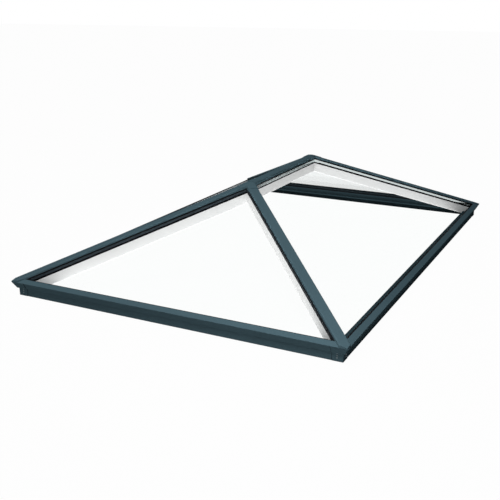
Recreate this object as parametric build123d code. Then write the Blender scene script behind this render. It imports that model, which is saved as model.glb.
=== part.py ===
from build123d import *
import os
from math import cos, radians, sin, sqrt, tan

# Rectangular roof lantern: four glazed slopes, four hips and a short ridge on an eaves frame.
# X runs along the ridge, Y across it and Z up. The origin is at the middle of the base.
# Millimetres and degrees throughout. t is a distance inward from the face of a fascia.

# Overall sizes
length = 3000.0
width = 2000.0
pitch = 25.0

# Eaves beam: an outer leg over the kerb, a seat for the glass and a flange on top of the kerb
leg_height = 47.0
leg_thickness = 28.0
flange_height = 40.0
flange_reach = 41.0
flange_thickness = 8.0

# Eaves cap: the overhanging nose and the sloping strip that holds the foot of the glass
lip_reach = 9.0
nose_reach = 30.0
nose_height = 86.5
strip_width = 31.0
eaves_cap_wall = 2.5

# Sealed glass units
outer_pane = 6.0
cavity = 16.0
inner_pane = 6.0
edge_cover = 11.5
nose_room = 21.0
edge_seal = 3.0
spacer_width = 8.0

# Rubber gaskets, above and below the glass
outer_gasket = 1.5
inner_gasket = 4.0
gasket_width = 14.0
gasket_lip = 6.0
gasket_upstand = 4.0
gasket_margin = 12.0

# Inner bars: the hip rafters and the ridge beam
bar_width = 52.0
bar_depth = 110.0
bar_chamfer = 3.0
neck_width = 10.0

# Outer caps along the hips and the ridge
cap_width = 59.0
cap_rise = 4.0
cap_shoulder = 7.0
cap_wall = 3.0

# Covers where the caps meet at each end of the ridge
cover_wall = 2.5
cover_gap = 0.3
cover_core = 40.0
cover_hip_arm = 73.0
cover_ridge_arm = 90.0

# Covers over the joints of the fascias and noses
corner_leg = 57.0
corner_wall = 1.5

# Play between pieces that lie on each other
fit = 0.2

# Worked out from the sizes above
half_length = length / 2
half_width = width / 2
ridge_half = half_length - half_width
slope = tan(radians(pitch))
hip_fall = slope / sqrt(2)
lean = (nose_height - leg_height) / (nose_reach - lip_reach)
lean_length = sqrt(1 + lean * lean)
glass_gap = cap_width / 2 - edge_cover
top_of_glass = eaves_cap_wall + outer_gasket
under_glass = top_of_glass + outer_pane + cavity + inner_pane
seat_depth = under_glass + inner_gasket
far = length + width
bisector = tan(radians(22.5))


def drop(depth):
    """Vertical drop of a plane that lies depth below the outer slope, square to it."""
    return depth / cos(radians(pitch))


def level(t, depth=0.0):
    """Height of the outer slope, or of a plane below it, at t inward of the fascia."""
    return nose_height + (nose_reach + t) * slope - drop(depth)


def upright(outline, low=-far, high=far):
    """Upright prism over a plan outline."""
    face = Face(Wire.make_polygon([(x, y, low) for x, y in outline], close=True))
    return Solid.extrude(face, Vector(0, 0, high - low))


def rectangle(t):
    """Plan outline at t inward of the fascias."""
    x = half_length - t
    y = half_width - t
    return [(-x, -y), (x, -y), (x, y), (-x, y)]


# Plan outlines of the two sides that are modelled. The other two are their mirror images.
beyond = nose_reach + far
side_outline = {
    "front": [
        (-half_length - beyond, -half_width - beyond),
        (half_length + beyond, -half_width - beyond),
        (ridge_half, 0),
        (-ridge_half, 0),
    ],
    "left": [
        (-half_length - beyond, -half_width - beyond),
        (-ridge_half, 0),
        (-half_length - beyond, half_width + beyond),
    ],
}


def eaves_run(side, section):
    """Straight eaves piece from a section in t and z, mitred at both corners."""
    reach = half_length + 2 * nose_reach
    if side == "front":
        points = [(-reach, t - half_width, z) for t, z in section]
        run = Vector(2 * reach, 0, 0)
    else:
        points = [(t - half_length, -reach, z) for t, z in section]
        run = Vector(0, 2 * reach, 0)
    face = Face(Wire.make_polygon(points, close=True))
    return Solid.extrude(face, run) & upright(side_outline[side])


def glass_outline(side, eaves, bars):
    """Plan outline of a slope, held back from the fascia and from the hips and the ridge."""
    inset = bars * sqrt(2)
    if side == "front":
        top = half_width - bars
        foot_x = half_length - eaves - inset
        head_x = half_length - top - inset
        return [
            (-foot_x, eaves - half_width),
            (foot_x, eaves - half_width),
            (head_x, -bars),
            (-head_x, -bars),
        ]
    foot_y = half_width - eaves - inset
    return [
        (eaves - half_length, -foot_y),
        (-ridge_half - inset, 0),
        (eaves - half_length, foot_y),
    ]


def sheet(side, outline, depth, thickness):
    """Sloping sheet with upright edges, its top face at depth below the outer slope."""
    points = []
    for x, y in outline:
        t = y + half_width if side == "front" else x + half_length
        points.append((x, y, level(t, depth)))
    face = Face(Wire.make_polygon(points, close=True))
    return Solid.extrude(face, Vector(0, 0, -drop(thickness)))


def ring(side, outside, inside, depth, thickness):
    """Sloping frame between two outlines, each held back from the fascia and from the bars."""
    outer = sheet(side, glass_outline(side, *outside), depth, thickness)
    hole = sheet(side, glass_outline(side, *inside), depth - thickness, 3 * thickness)
    return outer - hole


def widen(outline, across):
    """Distances of an outline that lies further inward on all its sides."""
    eaves, bars = outline
    return (eaves + across, bars + across)


def hip_prism(section):
    """Bar along the front left hip, from a section in u to its right and v above the crest."""
    start = -2 * nose_reach
    run = half_width + 2 * cover_ridge_arm - start
    plane = Plane(
        origin=(start - half_length, start - half_width, level(start)),
        x_dir=(1, -1, 0),
        z_dir=(-1, -1, 0),
    )
    return Solid.extrude((plane * section).face(), Vector(run, run, run * slope))


def ridge_prism(section):
    """Bar along the ridge, from a section in u across it and v above the crest."""
    reach = ridge_half + cover_ridge_arm
    plane = Plane(origin=(-reach, 0, level(half_width)), x_dir=(0, -1, 0), z_dir=(-1, 0, 0))
    return Solid.extrude((plane * section).face(), Vector(2 * reach, 0, 0))


def hip_stretch(near, reach):
    """Plan region of the front left hip between two distances from the end of the ridge."""
    across = half_width
    points = []
    for along, u in ((near, -across), (near, across), (reach, across), (reach, -across)):
        x = -ridge_half + (u - along) / sqrt(2)
        y = (-u - along) / sqrt(2)
        points.append((x, y))
    return upright(points)


# Plan regions that mitre the bars where they meet at the ends of the ridge
hip_region = upright([
    (-ridge_half, 0),
    (-ridge_half - far, 0),
    (-ridge_half - far, -far),
    (-ridge_half + far * bisector, -far),
])
mitre_reach = min(ridge_half, bar_width + cap_width)
mitre_inset = ridge_half - mitre_reach * bisector
ridge_region = upright([
    (-ridge_half, 0),
    (-mitre_inset, mitre_reach),
    (mitre_inset, mitre_reach),
    (ridge_half, 0),
    (mitre_inset, -mitre_reach),
    (-mitre_inset, -mitre_reach),
])


def outline_face(points):
    """Face in the plane of a section, from its corner points."""
    return make_face(Polyline(*points, close=True))


def bar_section(fall):
    """Inner bar: a deep white box, with a neck up between the glass units to carry the cap."""
    side = bar_width / 2
    neck = neck_width / 2
    seat = -drop(seat_depth)
    return outline_face([
        (-side, bar_chamfer - bar_depth),
        (bar_chamfer - side, -bar_depth),
        (side - bar_chamfer, -bar_depth),
        (side, bar_chamfer - bar_depth),
        (side, seat - fall * side),
        (neck, seat - fall * neck),
        (neck, cap_rise - cap_wall),
        (-neck, cap_rise - cap_wall),
        (-neck, seat - fall * neck),
        (-side, seat - fall * side),
    ])


def cap_outside(fall, grow=0.0, foot=eaves_cap_wall):
    """Filled outside shape of a cap with round shoulders, or of one that fits over it."""
    side = cap_width / 2 + grow
    top = cap_rise + grow
    foot_level = -fall * side - drop(foot)
    body = outline_face([(-side, foot_level), (side, foot_level), (side, top), (-side, top)])
    shoulders = body.vertices().sort_by(Axis.Y)[-2:]
    body = fillet(shoulders, cap_shoulder + grow)
    centre_level = -drop(foot)
    wedge = outline_face([(-side, foot_level), (side, foot_level), (0, centre_level)])
    return body - wedge if centre_level > foot_level else body


def cap_hollow(fall):
    """Channel inside a cap, open towards the glass."""
    side = cap_width / 2 - cap_wall
    top = cap_rise - cap_wall
    low = -fall * side - drop(seat_depth)
    body = outline_face([(-side, low), (side, low), (side, top), (-side, top)])
    shoulders = body.vertices().sort_by(Axis.Y)[-2:]
    return fillet(shoulders, cap_shoulder - cap_wall)


def make_eaves_beam(side):
    """Eaves beam: leg, glass seat and kerb flange in one extrusion."""
    inner = leg_thickness
    flange_top = flange_height + flange_thickness
    return eaves_run(side, [
        (0, 0),
        (inner, 0),
        (inner, flange_height),
        (inner + flange_reach, flange_height),
        (inner + flange_reach, flange_top),
        (inner, flange_top),
        (inner, level(inner, seat_depth)),
        (0, level(0, seat_depth)),
    ])


def make_eaves_cap(side):
    """Eaves cap: folded strip with a lip, a leaning nose and a slope over the glass."""
    nose_inset = eaves_cap_wall * lean_length / lean
    lip_top = leg_height + eaves_cap_wall
    lip_inner = lip_reach + eaves_cap_wall / lean - nose_inset
    edge = strip_width - nose_reach
    under = drop(eaves_cap_wall)
    # The inside of the nose meets the underside of the sloping strip at this t
    fold = (level(0) - under - lip_top + lip_inner * lean) / (slope + lean)
    return eaves_run(side, [
        (0, leg_height),
        (-lip_reach, leg_height),
        (-nose_reach, nose_height),
        (edge, level(edge)),
        (edge, level(edge, eaves_cap_wall)),
        (-fold, level(-fold, eaves_cap_wall)),
        (-lip_inner, lip_top),
        (0, lip_top),
    ])


def make_glazing(side):
    """Two panes, the spacer frame between them and the gaskets of one slope."""
    edge = (nose_room - nose_reach, glass_gap)
    pane = glass_outline(side, *edge)
    spacer_top = top_of_glass + outer_pane
    inner_top = spacer_top + cavity
    frame = widen(edge, edge_seal)
    # The outer gasket shows as a lip past the edges of the strips and the caps
    hidden = gasket_width - gasket_lip
    held = (strip_width - nose_reach - hidden, cap_width / 2 - hidden)
    seat = (gasket_margin, glass_gap - gasket_upstand)
    # The inner gasket turns up beside the edge of the glass along the bars, not at the eaves
    bed = ring(side, seat, (leg_thickness, bar_width / 2), under_glass, inner_gasket)
    beside = (seat[0] - gasket_upstand, glass_gap)
    upstand = ring(side, seat, beside, top_of_glass, seat_depth - top_of_glass)
    return {
        "outer_glass": sheet(side, pane, top_of_glass, outer_pane),
        "inner_glass": sheet(side, pane, inner_top, inner_pane),
        "spacer_frame": ring(side, frame, widen(frame, spacer_width), spacer_top, cavity),
        "outer_gasket": ring(side, held, widen(held, gasket_width), eaves_cap_wall, outer_gasket),
        "inner_gasket": bed + upstand,
    }


def make_hip_rafter():
    """Hip rafter: from the mitre under the ridge to the eaves beams, notched over the flange."""
    bar = hip_prism(bar_section(hip_fall)) & hip_region
    bar = bar & upright(rectangle(leg_thickness))
    flange_edge = leg_thickness + flange_reach
    flange_top = flange_height + flange_thickness
    over_flange = upright(rectangle(leg_thickness), flange_top, far)
    inside_flange = upright(rectangle(flange_edge))
    return (bar & over_flange) + (bar & inside_flange)


def make_ridge_beam():
    """Ridge beam between the two ends where the hips meet."""
    return ridge_prism(bar_section(slope)) & ridge_region


def make_hip_cap():
    """Hip cap: a channel down to the nose, closed at its foot, where it lies on the strips."""
    hollow = hip_prism(cap_hollow(hip_fall)) & upright(rectangle(cap_wall - nose_reach))
    cap = hip_prism(cap_outside(hip_fall)) - hollow
    cap = cap & hip_stretch(cover_core + fit, far) & upright(rectangle(-nose_reach))
    strip_edge = strip_width - nose_reach + fit
    below = hip_prism(outline_face([
        (0, fit),
        (-cap_width, fit - cap_width * hip_fall),
        (-cap_width, -cap_width),
        (cap_width, -cap_width),
        (cap_width, fit - cap_width * hip_fall),
    ]))
    return cap - (below - upright(rectangle(strip_edge)))


def make_ridge_cap():
    """Ridge cap between the two end covers."""
    reach = ridge_half - cover_core - fit
    stretch = upright([
        (-reach, -half_width), (reach, -half_width), (reach, half_width), (-reach, half_width)
    ])
    return ridge_prism(cap_outside(slope) - cap_hollow(slope)) & stretch


def cover_sections(fall):
    """Sections of the end cover along one arm: its skin, and the room for the cap within it."""
    outside = cap_outside(fall, cover_gap + cover_wall)
    room = cap_outside(fall, cover_gap, seat_depth)
    return outside - cap_hollow(fall), room


def make_ridge_end_cover():
    """Three-armed cover at the left end of the ridge, over the ends of the caps."""
    skin, room = cover_sections(hip_fall)
    hip_arm = hip_prism(skin) & hip_region & hip_stretch(-far, cover_hip_arm)
    hip_arm = hip_arm - (hip_prism(room) & hip_stretch(cover_core, far))
    skin, room = cover_sections(slope)
    end = cover_ridge_arm - ridge_half
    core = cover_core - ridge_half
    ridge_arm = ridge_prism(skin) & ridge_region
    ridge_arm = ridge_arm & upright([(-far, -far), (end, -far), (end, far), (-far, far)])
    covered = upright([(core, -far), (far, -far), (far, far), (core, far)])
    ridge_arm = ridge_arm - (ridge_prism(room) & covered)
    return ridge_arm + hip_arm + mirror(hip_arm, about=Plane.XZ)


def make_corner_cover():
    """Corner cover: a thin angle over the joints of two fascias and of the noses above them."""
    stand_off = corner_wall * lean_length / lean
    under = leg_height - corner_wall
    section = [
        (0, 0),
        (-corner_wall, 0),
        (-corner_wall, under),
        (corner_wall / lean - lip_reach - stand_off, under),
        (-nose_reach - stand_off, nose_height),
        (-nose_reach, nose_height),
        (-lip_reach, leg_height),
        (0, leg_height),
    ]
    end_x = corner_leg - half_length
    end_y = corner_leg - half_width
    corner = upright([(-far, -far), (end_x, -far), (end_x, end_y), (-far, end_y)])
    return (eaves_run("front", section) + eaves_run("left", section)) & corner


def one_solid(shape):
    """The single solid in a result."""
    solids = shape.solids() if hasattr(shape, "solids") else [shape]
    return solids[0] if len(solids) == 1 else Compound(solids)


def build():
    """All pieces by name."""
    pieces = {"ridge_beam": make_ridge_beam(), "ridge_cap": make_ridge_cap()}
    opposite = {"front": ("back", Plane.XZ), "left": ("right", Plane.YZ)}
    for side, (other, plane) in opposite.items():
        made = {"eaves_beam": make_eaves_beam(side), "eaves_cap": make_eaves_cap(side)}
        made.update(make_glazing(side))
        for name, piece in made.items():
            pieces[f"{name}_{side}"] = piece
            pieces[f"{name}_{other}"] = mirror(piece, about=plane)
    corners = {
        "hip_rafter": make_hip_rafter(),
        "hip_cap": make_hip_cap(),
        "corner_cover": make_corner_cover(),
    }
    for name, piece in corners.items():
        behind = mirror(piece, about=Plane.XZ)
        pieces[f"{name}_front_left"] = piece
        pieces[f"{name}_back_left"] = behind
        pieces[f"{name}_front_right"] = mirror(piece, about=Plane.YZ)
        pieces[f"{name}_back_right"] = mirror(behind, about=Plane.YZ)
    cover = make_ridge_end_cover()
    pieces["ridge_end_cover_left"] = cover
    pieces["ridge_end_cover_right"] = mirror(cover, about=Plane.YZ)
    return pieces


os.makedirs("parts", exist_ok=True)
for node, piece in build().items():
    export_step(one_solid(piece), f"parts/{node}.step")
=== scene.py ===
# %% [markdown]
# # A hipped roof lantern, dressed in Blender
#
# The lantern is a small glazed roof that stands over a hole in a flat roof. Its shape and sizes
# come from the imported CAD model, so this notebook adds only what CAD doesn't hold: the finishes,
# the rivets and the thin black beads at the corners, the light and the camera. All lengths are in
# metres.

import math

import bpy
from mathutils import Matrix, Vector


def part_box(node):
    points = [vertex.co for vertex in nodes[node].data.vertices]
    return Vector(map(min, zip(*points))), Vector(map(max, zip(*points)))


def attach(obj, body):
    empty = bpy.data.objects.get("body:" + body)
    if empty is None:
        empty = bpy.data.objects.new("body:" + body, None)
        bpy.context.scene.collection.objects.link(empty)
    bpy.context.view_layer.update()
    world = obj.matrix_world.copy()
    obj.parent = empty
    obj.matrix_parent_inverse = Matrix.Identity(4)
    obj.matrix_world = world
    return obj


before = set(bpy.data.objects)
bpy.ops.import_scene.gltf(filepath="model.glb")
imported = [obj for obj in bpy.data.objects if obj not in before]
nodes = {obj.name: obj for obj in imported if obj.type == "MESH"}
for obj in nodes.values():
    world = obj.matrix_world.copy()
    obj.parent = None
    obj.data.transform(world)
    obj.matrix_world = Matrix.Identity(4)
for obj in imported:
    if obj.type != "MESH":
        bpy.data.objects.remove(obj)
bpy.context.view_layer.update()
bpy.ops.object.select_all(action="DESELECT")
print("CAD nodes:", len(nodes))

# %% [markdown]
# ## The camera
#
# The eaves, the hips and the ridge run in known directions, so a perspective fit of their edges
# gives both the place of the camera and its lens. It could be aimed by eye instead, but then the
# slopes wouldn't narrow quite as they should. It stands about 1.6 m up, off one corner, and looks
# down along the lantern.

# %% Camera
camera_place = (-4.71494, -2.12596, 1.64425)
camera_elevation = 17.763
camera_azimuth = -63.24
camera_lens = 56.29
sensor_width = 36
farthest_seen = 200

bpy.ops.object.camera_add(location=camera_place)
camera = bpy.context.object
camera.name = "camera"
camera.rotation_euler = (math.radians(90 - camera_elevation), 0, math.radians(camera_azimuth))
camera.data.sensor_width = sensor_width
camera.data.lens = camera_lens
camera.data.clip_end = farthest_seen
bpy.context.scene.camera = camera
print("camera at:", tuple(round(value, 3) for value in camera.location))

# %% [markdown]
# ## Helpers for node materials
#
# Each finish is a small tree of shader nodes. A pattern worked out by nodes stays sharp at any
# distance and needs no unwrapping of the pieces. The patterns read Object coordinates, which are
# metres here, so a noise scale of 1000 gives grains of about a millimetre.

# %% Colours and empty materials
def linear(red, green, blue):
    """Scene colour of a screen colour given from 0 to 255."""
    channels = []
    for value in (red, green, blue):
        share = value / 255
        channels.append(share / 12.92 if share <= 0.04045 else ((share + 0.055) / 1.055) ** 2.4)
    return (*channels, 1.0)


def start_material(name):
    """New material with its node tree emptied, apart from the output."""
    material = bpy.data.materials.new(name)
    material.use_nodes = True
    tree = material.node_tree
    tree.nodes.clear()
    output = tree.nodes.new("ShaderNodeOutputMaterial")
    return material, tree, output


# %% Nodes for patterns
# Nearly all of a noise's values lie between these two.
noise_low = 0.3
noise_high = 0.7


def add_noise(tree, scale, detail=3.0, roughness=0.55):
    """Noise on Object coordinates."""
    place = tree.nodes.new("ShaderNodeTexCoord")
    noise = tree.nodes.new("ShaderNodeTexNoise")
    noise.inputs["Scale"].default_value = scale
    noise.inputs["Detail"].default_value = detail
    noise.inputs["Roughness"].default_value = roughness
    tree.links.new(place.outputs["Object"], noise.inputs["Vector"])
    return noise.outputs["Fac"]


def spread(tree, source, low, high, start=noise_low, end=noise_high):
    """Maps the values between a start and an end to a range."""
    ranged = tree.nodes.new("ShaderNodeMapRange")
    ranged.inputs["From Min"].default_value = start
    ranged.inputs["From Max"].default_value = end
    ranged.inputs["To Min"].default_value = low
    ranged.inputs["To Max"].default_value = high
    tree.links.new(source, ranged.inputs["Value"])
    return ranged.outputs["Result"]


def vary_colour(tree, source, colour, darker, lighter):
    """Colour that drifts between a darker and a lighter shade of itself."""
    ramp = tree.nodes.new("ShaderNodeValToRGB")
    dark_end, light_end = ramp.color_ramp.elements
    dark_end.position = noise_low
    dark_end.color = (*[channel * darker for channel in colour[:3]], 1)
    light_end.position = noise_high
    light_end.color = (*[channel * lighter for channel in colour[:3]], 1)
    tree.links.new(source, ramp.inputs["Fac"])
    return ramp.outputs["Color"]


def grain(tree, shader, source, strength, distance):
    """Fine relief on a shader."""
    bump = tree.nodes.new("ShaderNodeBump")
    bump.inputs["Strength"].default_value = strength
    bump.inputs["Distance"].default_value = distance
    tree.links.new(source, bump.inputs["Height"])
    tree.links.new(bump.outputs["Normal"], shader.inputs["Normal"])


# %% Nodes for a place on the lantern
frame_low, frame_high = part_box("eaves_beam_front")
half_length = frame_high.x
half_width = -frame_low.y
print("frame:", round(2 * half_length, 3), "by", round(2 * half_width, 3))


def plan_place(tree):
    """Distance inward from the nearest fascia, and the height turned downward."""
    place = tree.nodes.new("ShaderNodeTexCoord")
    folded = tree.nodes.new("ShaderNodeVectorMath")
    folded.operation = "ABSOLUTE"
    tree.links.new(place.outputs["Object"], folded.inputs[0])
    inward = tree.nodes.new("ShaderNodeVectorMath")
    inward.operation = "SUBTRACT"
    inward.inputs[0].default_value = (half_length, half_width, 0)
    tree.links.new(folded.outputs["Vector"], inward.inputs[1])
    parts = tree.nodes.new("ShaderNodeSeparateXYZ")
    tree.links.new(inward.outputs["Vector"], parts.inputs["Vector"])
    nearest = tree.nodes.new("ShaderNodeMath")
    nearest.operation = "MINIMUM"
    tree.links.new(parts.outputs["X"], nearest.inputs[0])
    tree.links.new(parts.outputs["Y"], nearest.inputs[1])
    return nearest.outputs["Value"], parts.outputs["Z"]


# %% [markdown]
# ## Powder coat
#
# The outer metal is aluminium with a baked powder coat. It is satin, with the faint orange-peel
# of melted powder and a slight cloudiness from place to place. A plain colour would look like
# moulded plastic, so three noises of very different sizes vary its shade, its sheen and its
# relief. On the eaves the colour is darker behind the fascia, which is painted shade for the
# inner side that little light reaches. The same recipe with a pale colour gives the white bars
# within.

# %% Powder coat
cloud_scale = 2.6
wipe_scale = 11.0
peel_scale = 900.0
peel_strength = 0.12
peel_height = 0.0002
# Painted shade behind the fascia begins at the first of these distances in from the fascia and is
# full at the second.
painted_shade_from = 0.001
painted_shade_to = 0.002


def powder_coat(name, colour, sheen, specular, drift, painted_shade_share=1.0):
    """Satin powder coat with orange-peel relief and a slight drift of its colour.

    The painted shade share is the share of the colour left behind the fascia: painted shade for
    the inner side, which gets little light.
    """
    material, tree, output = start_material(name)
    shader = tree.nodes.new("ShaderNodeBsdfPrincipled")
    shader.inputs["Specular IOR Level"].default_value = specular
    shade = vary_colour(tree, add_noise(tree, cloud_scale, 4.0), colour, *drift)
    # Painted shade: the colour is darkened behind the fascia, where the inner side gets little
    # light.
    if painted_shade_share < 1:
        inward = plan_place(tree)[0]
        share = spread(tree, inward, 1.0, painted_shade_share, painted_shade_from, painted_shade_to)
        with_painted_shade = tree.nodes.new("ShaderNodeVectorMath")
        with_painted_shade.operation = "SCALE"
        tree.links.new(shade, with_painted_shade.inputs[0])
        tree.links.new(share, with_painted_shade.inputs["Scale"])
        shade = with_painted_shade.outputs["Vector"]
    tree.links.new(shade, shader.inputs["Base Color"])
    roughness = spread(tree, add_noise(tree, wipe_scale, 5.0), *sheen)
    tree.links.new(roughness, shader.inputs["Roughness"])
    grain(tree, shader, add_noise(tree, peel_scale, 2.0), peel_strength, peel_height)
    tree.links.new(shader.outputs["BSDF"], output.inputs["Surface"])
    return material


# %% The four coats
grey = linear(69, 90, 98)
white = linear(214, 214, 214)
rivet_grey = linear(112, 127, 132)
grey_finish = {"colour": grey, "sheen": (0.4, 0.52), "specular": 0.0, "drift": (0.94, 1.06)}
white_finish = {"colour": white, "sheen": (0.42, 0.52), "specular": 0.3, "drift": (0.98, 1.0)}
rivet_finish = {"colour": rivet_grey, "sheen": (0.3, 0.4), "specular": 0.3, "drift": (0.97, 1.03)}

anthracite = powder_coat("anthracite_powder_coat", **grey_finish)
# The eaves beams get painted shade behind the fascia.
beam_coat_with_painted_shade = powder_coat("beam_powder_coat_painted_shade", **grey_finish, painted_shade_share=0.38)
white_coat = powder_coat("white_powder_coat", **white_finish)
rivet_coat = powder_coat("rivet_coat", **rivet_finish)
print("coats:", [coat.name for coat in (anthracite, beam_coat_with_painted_shade, white_coat, rivet_coat)])

# %% [markdown]
# ## Rubber
#
# The gaskets above and below the glass are matt black rubber. Rubber that is only black looks
# like a hole, so a soft noise makes it a little dusty and uneven, and a very fine one gives it a
# grain.

# %% Rubber
dust_scale = 30.0
speck_scale = 1500.0
speck_strength = 0.2
speck_height = 0.0002
matt_specular = 0.05


def rubber_finish(name, colour):
    """Matt rubber with a fine grain."""
    material, tree, output = start_material(name)
    shader = tree.nodes.new("ShaderNodeBsdfPrincipled")
    shader.inputs["Specular IOR Level"].default_value = matt_specular
    dust = add_noise(tree, dust_scale)
    tree.links.new(vary_colour(tree, dust, colour, 0.8, 1.25), shader.inputs["Base Color"])
    tree.links.new(spread(tree, dust, 0.65, 0.85), shader.inputs["Roughness"])
    grain(tree, shader, add_noise(tree, speck_scale, 2.0), speck_strength, speck_height)
    tree.links.new(shader.outputs["BSDF"], output.inputs["Surface"])
    return material


black_rubber = rubber_finish("black_rubber", linear(16, 18, 21))
print("rubber:", black_rubber.name)

# %% [markdown]
# ## Spacers between the panes
#
# Each glass unit is two panes that a thin bar holds apart along their edges, with a bead of black
# sealant where the bar meets each pane. The bar is bright metal in the two long units. In the two
# end units it is the same bar given a dark matt grey, which is painted shade for the darker
# reflection that it shows there. The beads could be pieces of their own, but they are only a few
# millimetres high and lie behind glass, so the bar's material tells them apart by how deep a
# point lies below the slope. Along the ridge the beads lie behind the bar, and all of it shows.

# %% Depth inside a glass unit
pitch = math.radians(25)
nose_height = 0.0865
nose_reach = 0.030


def depth_in_unit(tree, inward, fall):
    """Depth below the outer slope, square to it, of a place in plan and height."""
    rise = tree.nodes.new("ShaderNodeMath")
    rise.operation = "MULTIPLY_ADD"
    rise.inputs[1].default_value = math.sin(pitch)
    rise.inputs[2].default_value = nose_height * math.cos(pitch) + nose_reach * math.sin(pitch)
    tree.links.new(inward, rise.inputs[0])
    depth = tree.nodes.new("ShaderNodeMath")
    depth.operation = "MULTIPLY_ADD"
    depth.inputs[1].default_value = math.cos(pitch)
    tree.links.new(fall, depth.inputs[0])
    tree.links.new(rise.outputs["Value"], depth.inputs[2])
    return depth.outputs["Value"]


# %% Where a spacer is bare
bare_depth = 0.0172
bare_height = 0.0125
bare_ridge_inward = 0.95


def bare_share(tree):
    """One where the spacer shows, and nought where the sealant covers it."""
    inward, fall = plan_place(tree)
    between = tree.nodes.new("ShaderNodeMath")
    between.operation = "COMPARE"
    between.inputs[1].default_value = bare_depth
    between.inputs[2].default_value = bare_height / 2
    tree.links.new(depth_in_unit(tree, inward, fall), between.inputs[0])
    by_ridge = tree.nodes.new("ShaderNodeMath")
    by_ridge.operation = "GREATER_THAN"
    by_ridge.inputs[1].default_value = bare_ridge_inward
    tree.links.new(inward, by_ridge.inputs[0])
    shown = tree.nodes.new("ShaderNodeMath")
    shown.operation = "MAXIMUM"
    tree.links.new(between.outputs["Value"], shown.inputs[0])
    tree.links.new(by_ridge.outputs["Value"], shown.inputs[1])
    return shown.outputs["Value"]


# %% Spacer
streak_scale = 60.0
sealant_black = linear(12, 13, 15)
sealant_roughness = 0.7


def spacer_finish(name, colour, metallic, roughness):
    """Spacer bar of a given colour, metal or matt, with a bead of black sealant along its top and
    its bottom.
    """
    material, tree, output = start_material(name)
    bar = tree.nodes.new("ShaderNodeBsdfPrincipled")
    bar.inputs["Metallic"].default_value = metallic
    bar.inputs["Roughness"].default_value = roughness
    bar.inputs["Specular IOR Level"].default_value = matt_specular
    streaks = add_noise(tree, streak_scale, 4.0)
    tree.links.new(vary_colour(tree, streaks, colour, 0.96, 1.03), bar.inputs["Base Color"])
    bead = tree.nodes.new("ShaderNodeBsdfPrincipled")
    bead.inputs["Base Color"].default_value = sealant_black
    bead.inputs["Roughness"].default_value = sealant_roughness
    bead.inputs["Specular IOR Level"].default_value = matt_specular
    mix = tree.nodes.new("ShaderNodeMixShader")
    tree.links.new(bare_share(tree), mix.inputs["Fac"])
    tree.links.new(bead.outputs["BSDF"], mix.inputs[1])
    tree.links.new(bar.outputs["BSDF"], mix.inputs[2])
    tree.links.new(mix.outputs["Shader"], output.inputs["Surface"])
    return material


pale_metal = (0.66, 0.71, 0.71, 1)
# Painted shade: the end units' bar is the same bar, given a dark grey for the darker reflection
# that it shows there.
painted_shade_grey = linear(48, 55, 60)
bright_spacer = spacer_finish("bright_spacer", pale_metal, metallic=1.0, roughness=0.12)
painted_shade_spacer = spacer_finish("painted_shade_spacer", painted_shade_grey, metallic=0.0, roughness=0.6)
print("spacers:", bright_spacer.name, painted_shade_spacer.name)

# %% [markdown]
# ## Glass
#
# The glass is clear. Most light goes straight through, and the share that is mirrored grows as
# one looks along the pane. A true glass shader bends light through each pane and takes long to
# render, so this is a mix of a transparent and a glossy shader by Fresnel. Only a pane's outer
# face mirrors, or each reflection would show twice.

# %% Glass
glass_tint = (0.996, 0.999, 0.998, 1)
mirror_tint = (0.62, 0.65, 0.67, 1)
mirror_roughness = 0.01
mirror_index = 1.12
mirror_from = 0.07
mirror_to = 0.5
mirror_most = 0.4


def clear_glass(name):
    """Thin clear glass: see-through, with a soft Fresnel reflection on its outer face."""
    material, tree, output = start_material(name)
    through = tree.nodes.new("ShaderNodeBsdfTransparent")
    through.inputs["Color"].default_value = glass_tint
    mirror = tree.nodes.new("ShaderNodeBsdfGlossy")
    mirror.inputs["Roughness"].default_value = mirror_roughness
    mirror.inputs["Color"].default_value = mirror_tint
    edge = tree.nodes.new("ShaderNodeFresnel")
    edge.inputs["IOR"].default_value = mirror_index
    grazing = spread(tree, edge.outputs["Fac"], 0.0, mirror_most, mirror_from, mirror_to)
    side = tree.nodes.new("ShaderNodeNewGeometry")
    outer_face = tree.nodes.new("ShaderNodeMath")
    outer_face.operation = "SUBTRACT"
    outer_face.inputs[0].default_value = 1.0
    tree.links.new(side.outputs["Backfacing"], outer_face.inputs[1])
    share = tree.nodes.new("ShaderNodeMath")
    share.operation = "MULTIPLY"
    tree.links.new(grazing, share.inputs[0])
    tree.links.new(outer_face.outputs["Value"], share.inputs[1])
    mix = tree.nodes.new("ShaderNodeMixShader")
    tree.links.new(share.outputs["Value"], mix.inputs["Fac"])
    tree.links.new(through.outputs["BSDF"], mix.inputs[1])
    tree.links.new(mirror.outputs["BSDF"], mix.inputs[2])
    tree.links.new(mix.outputs["Shader"], output.inputs["Surface"])
    return material


glass = clear_glass("clear_glass")
print("glass:", glass.name)

# %% [markdown]
# ## Give every CAD node its finish
#
# The nodes' shapes are right, so they stay, and only the material in their slots changes. A node
# takes the last finish in the list that its name begins with, so the two end units get their
# spacers with painted shade after the bright ones.

# %% Finishes on the CAD nodes
finish_of = {
    "eaves_beam": beam_coat_with_painted_shade,
    "eaves_cap": anthracite,
    "corner_cover": anthracite,
    "hip_cap": anthracite,
    "ridge_cap": anthracite,
    "ridge_end_cover": anthracite,
    "hip_rafter": white_coat,
    "ridge_beam": white_coat,
    "outer_glass": glass,
    "inner_glass": glass,
    "spacer_frame": bright_spacer,
    "spacer_frame_left": painted_shade_spacer,
    "spacer_frame_right": painted_shade_spacer,
    "outer_gasket": black_rubber,
    "inner_gasket": black_rubber,
}
finished = set()
for name, node in nodes.items():
    for kind, material in finish_of.items():
        if name.startswith(kind):
            finished.add(name)
            for place in node.material_slots:
                place.material = material
print("finished nodes:", len(finished))

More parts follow.
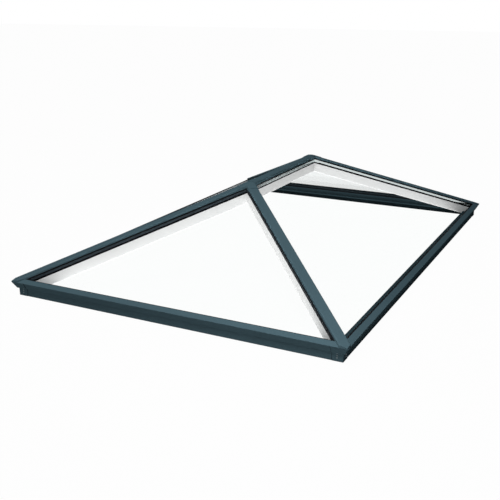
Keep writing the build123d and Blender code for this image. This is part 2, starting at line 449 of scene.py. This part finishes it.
# %% [markdown]
# ## Small pieces at the corners
#
# What repeats is modelled once, as a pattern that stands on the origin with its axis along Z.
# Each copy gets a mesh of its own, and the move to its place is made in that mesh, so that every
# object stays at the origin. The covers have two legs at each of the four corners.

# %% Helpers for small pieces
smooth_below = math.radians(60)


def select_faces(piece, wanted):
    """Leaves a piece in edit mode, with only the faces selected that a test picks."""
    bpy.ops.object.mode_set(mode="EDIT")
    bpy.ops.mesh.select_mode(type="FACE")
    bpy.ops.mesh.select_all(action="DESELECT")
    bpy.ops.object.mode_set(mode="OBJECT")
    for face in piece.data.polygons:
        face.select = wanted(face)
    bpy.ops.object.mode_set(mode="EDIT")


def finish_pattern(piece, material):
    """Smooth shading and a material for a piece that is to be copied."""
    bpy.ops.object.mode_set(mode="OBJECT")
    bpy.ops.object.shade_smooth_by_angle(angle=smooth_below)
    piece.data.materials.append(material)
    piece.select_set(False)


def copy_to(pattern, name, place, axis):
    """Copy of a pattern with its own mesh, its foot at a place and its Z along an axis."""
    piece = pattern.copy()
    piece.data = pattern.data.copy()
    piece.name = name
    bpy.context.collection.objects.link(piece)
    turn = Vector((0, 0, 1)).rotation_difference(Vector(axis))
    piece.data.transform(Matrix.LocRotScale(Vector(place), turn, None))
    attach(piece, "root")
    return piece


# %% The legs of the corner covers
corners = [
    (x_side, end, y_side, edge)
    for x_side, end in ((-1, "left"), (1, "right"))
    for y_side, edge in ((-1, "front"), (1, "back"))
]
print("corners:", len(corners))


def places_on_legs(corner, from_corner, out, level):
    """Name of the leg, place and outward direction, for a point on each leg of a cover."""
    x_side, end, y_side, edge = corner
    along = (x_side * (half_length - from_corner), y_side * (half_width + out), level)
    across = (x_side * (half_length + out), y_side * (half_width - from_corner), level)
    return (
        (f"{edge}_{end}_{edge}", along, (0, y_side, 0)),
        (f"{edge}_{end}_{end}", across, (x_side, 0, 0)),
    )


# %% [markdown]
# ## Rivets on the corner covers
#
# Each leg of a corner cover is held by three small rivets, one above the other. A rivet head
# starts as a short disc. Its crown is inset and raised twice, which gives a low dome with far
# fewer faces than half a sphere.

# %% One rivet
rivet_radius = 0.0035
rivet_height = 0.0014
rivet_sides = 24
# Each step of the crown: inset as a share of the radius, and rise as a share of the height.
crown_steps = ((0.35, 0.35), (0.3, 0.12))

bpy.ops.mesh.primitive_cylinder_add(
    vertices=rivet_sides,
    radius=rivet_radius,
    depth=rivet_height,
    location=(0, 0, rivet_height / 2),
)
rivet_pattern = bpy.context.object
bpy.ops.object.transform_apply(location=True, rotation=True, scale=True)
select_faces(rivet_pattern, lambda face: face.normal.z > 0.9)
for inset, rise in crown_steps:
    bpy.ops.mesh.inset(thickness=rivet_radius * inset)
    bpy.ops.transform.translate(value=(0, 0, rivet_height * rise))
finish_pattern(rivet_pattern, rivet_coat)
print("rivet height:", round(rivet_pattern.dimensions.z, 5))

# %% Rivets at all four corners
rivet_from_corner = 0.030
rivet_levels = (0.042, 0.031, 0.019)
cover_wall = 0.0015

rivets = []
for corner in corners:
    for number, level in enumerate(rivet_levels, start=1):
        for leg, place, outward in places_on_legs(corner, rivet_from_corner, cover_wall, level):
            name = f"rivet_{leg}_{number}"
            rivets.append(copy_to(rivet_pattern, name, place, outward))
bpy.data.objects.remove(rivet_pattern)
print("rivets:", len(rivets))

# %% [markdown]
# ## Black beads at the ends of the corner covers
#
# Each leg of a corner cover ends in a thin black bead, up the fascia and up the nose, which gives
# a dark line at the joint. A bead is a slim cylinder with rounded ends that lies half in the
# joint.
# The fascia's bead and the nose's differ in length, so there is a pattern for each.

# %% Where the beads run
bead_radius = 0.0012
bead_sides = 12
bead_rounding = 0.6 * bead_radius
bead_short_by = 0.001
corner_leg = 0.057
bead_from_corner = corner_leg + bead_radius
lip_reach = 0.009
leg_height = 0.047
# Name, and then the foot and the head of a bead, each as a distance out of the fascia and a
# height.
bead_runs = (
    ("fascia", (0, bead_short_by), (0, leg_height - cover_wall)),
    ("nose", (lip_reach, leg_height), (nose_reach, nose_height - bead_short_by)),
)
print("beads on a leg:", [name for name, foot, head in bead_runs])

# %% Black beads
beads = []
for part, (foot_out, foot_level), (head_out, head_level) in bead_runs:
    out = head_out - foot_out
    rise = head_level - foot_level
    run = math.hypot(out, rise)
    bpy.ops.mesh.primitive_cylinder_add(
        vertices=bead_sides, radius=bead_radius, depth=run, location=(0, 0, run / 2)
    )
    bead_pattern = bpy.context.object
    bpy.ops.object.transform_apply(location=True, rotation=True, scale=True)
    select_faces(bead_pattern, lambda face: abs(face.normal.z) > 0.9)
    bpy.ops.mesh.bevel(offset=bead_rounding, segments=3)
    finish_pattern(bead_pattern, black_rubber)
    for corner in corners:
        legs = places_on_legs(corner, bead_from_corner, foot_out, foot_level)
        for leg, place, outward in legs:
            axis = Vector(outward) * out + Vector((0, 0, rise))
            beads.append(copy_to(bead_pattern, f"black_bead_{part}_{leg}", place, axis))
    bpy.data.objects.remove(bead_pattern)
print("beads:", len(beads))

# %% [markdown]
# ## Floor
#
# The floor is pale and plain. A white floor under strong lamps would throw light up onto the
# lantern and wash its colours out. So it is a mid grey for the light, and for the camera and for
# reflections it is nearly all a plain white glow, through which a soft shadow still shows.

# %% Floor
floor_size = 80
floor_grey = (0.4, 0.4, 0.4, 1)
floor_glow_share = 0.98


def camera_sees(tree):
    """One where a camera, mirrored or refracted ray looks, and nought for other rays."""
    path = tree.nodes.new("ShaderNodeLightPath")
    seen = path.outputs["Is Camera Ray"]
    for name in ("Is Glossy Ray", "Is Transmission Ray"):
        either = tree.nodes.new("ShaderNodeMath")
        either.operation = "MAXIMUM"
        tree.links.new(seen, either.inputs[0])
        tree.links.new(path.outputs[name], either.inputs[1])
        seen = either.outputs["Value"]
    return seen


def floor_finish(name):
    """Pale floor that looks white to the camera and keeps a soft shadow."""
    material, tree, output = start_material(name)
    matt = tree.nodes.new("ShaderNodeBsdfDiffuse")
    matt.inputs["Color"].default_value = floor_grey
    glow = tree.nodes.new("ShaderNodeEmission")
    glow.inputs["Color"].default_value = (1, 1, 1, 1)
    glow.inputs["Strength"].default_value = 1.0
    share = tree.nodes.new("ShaderNodeMath")
    share.operation = "MULTIPLY"
    share.inputs[1].default_value = floor_glow_share
    tree.links.new(camera_sees(tree), share.inputs[0])
    mix = tree.nodes.new("ShaderNodeMixShader")
    tree.links.new(share.outputs["Value"], mix.inputs["Fac"])
    tree.links.new(matt.outputs["BSDF"], mix.inputs[1])
    tree.links.new(glow.outputs["Emission"], mix.inputs[2])
    tree.links.new(mix.outputs["Shader"], output.inputs["Surface"])
    return material


bpy.ops.mesh.primitive_plane_add(size=floor_size)
floor = bpy.context.object
floor.name = "floor"
floor.data.materials.append(floor_finish("pale_floor"))
floor.select_set(False)
print("floor:", floor_size)

# %% [markdown]
# ## Sky
#
# The sky follows the same idea as the floor. It is white where it is seen or mirrored, and gives
# the lantern only a little even light, which keeps the shaded sides from going black.

# %% Sky
sky_light = 0.1

world = bpy.data.worlds.new("studio")
bpy.context.scene.world = world
world.use_nodes = True
sky = world.node_tree
sky.nodes.clear()
backdrop = sky.nodes.new("ShaderNodeBackground")
backdrop.inputs["Color"].default_value = (1, 1, 1, 1)
sky_strength = sky.nodes.new("ShaderNodeMapRange")
sky_strength.inputs["To Min"].default_value = sky_light
sky_strength.inputs["To Max"].default_value = 1.0
sky.links.new(camera_sees(sky), sky_strength.inputs["Value"])
sky.links.new(sky_strength.outputs["Result"], backdrop.inputs["Strength"])
surround = sky.nodes.new("ShaderNodeOutputWorld")
sky.links.new(backdrop.outputs["Background"], surround.inputs["Surface"])
print("sky light:", sky_light)

# %% [markdown]
# ## Lamps
#
# Softboxes give soft light without hard shadows. A broad one hangs high over the lantern, a low
# one fills the near end under its overhang, and a small one brightens the near corner. The room
# below the lantern has its own soft light, which shines up onto the white bars, and a narrow one
# for the foot of the left bar. These two would show through the glass, so the camera and
# reflections don't see them.

# %% Lamps
def add_softbox(name, place, target, size, power):
    """Rectangular area lamp turned towards a point."""
    bpy.ops.object.light_add(type="AREA", location=place)
    lamp = bpy.context.object
    lamp.name = name
    lamp.data.shape = "RECTANGLE"
    lamp.data.size, lamp.data.size_y = size
    lamp.data.energy = power
    aim = Vector(target) - Vector(place)
    lamp.rotation_euler = aim.to_track_quat("-Z", "Y").to_euler()
    return lamp


softboxes = [
    add_softbox(
        "key_softbox",
        place=(-3.0, 0.5, 6.8),
        target=(0, 0, 0.2),
        size=(3.2, 3.2),
        power=350,
    ),
    add_softbox(
        "side_softbox",
        place=(-6.4, -0.6, 1.0),
        target=(-1.5, 0, 0.1),
        size=(1.6, 1.2),
        power=44,
    ),
    add_softbox(
        "corner_softbox",
        place=(-2.1, -1.0, 1.35),
        target=(-1.45, -0.92, 0.1),
        size=(0.5, 0.5),
        power=10,
    ),
]
print("softboxes:", [lamp.name for lamp in softboxes])

# %% Lamps in the room below
room_light = add_softbox(
    "room_light",
    place=(0, 0, 0.02),
    target=(0, 0, 1),
    size=(2.78, 1.78),
    power=42,
)
foot_light = add_softbox(
    "foot_light",
    place=(-0.95, -0.35, 0.05),
    target=(-1.46, 0.96, 0.09),
    size=(0.12, 0.12),
    power=0.14,
)
foot_light.data.spread = math.radians(20)
for lamp in (room_light, foot_light):
    lamp.visible_camera = False
    lamp.visible_glossy = False
    lamp.visible_transmission = False
print("lamps below:", room_light.name, foot_light.name)

# %% [markdown]
# ## Finish
#
# The view stays plain, so a colour renders as it is written.

# %% View settings
bpy.context.scene.view_settings.view_transform = "Standard"
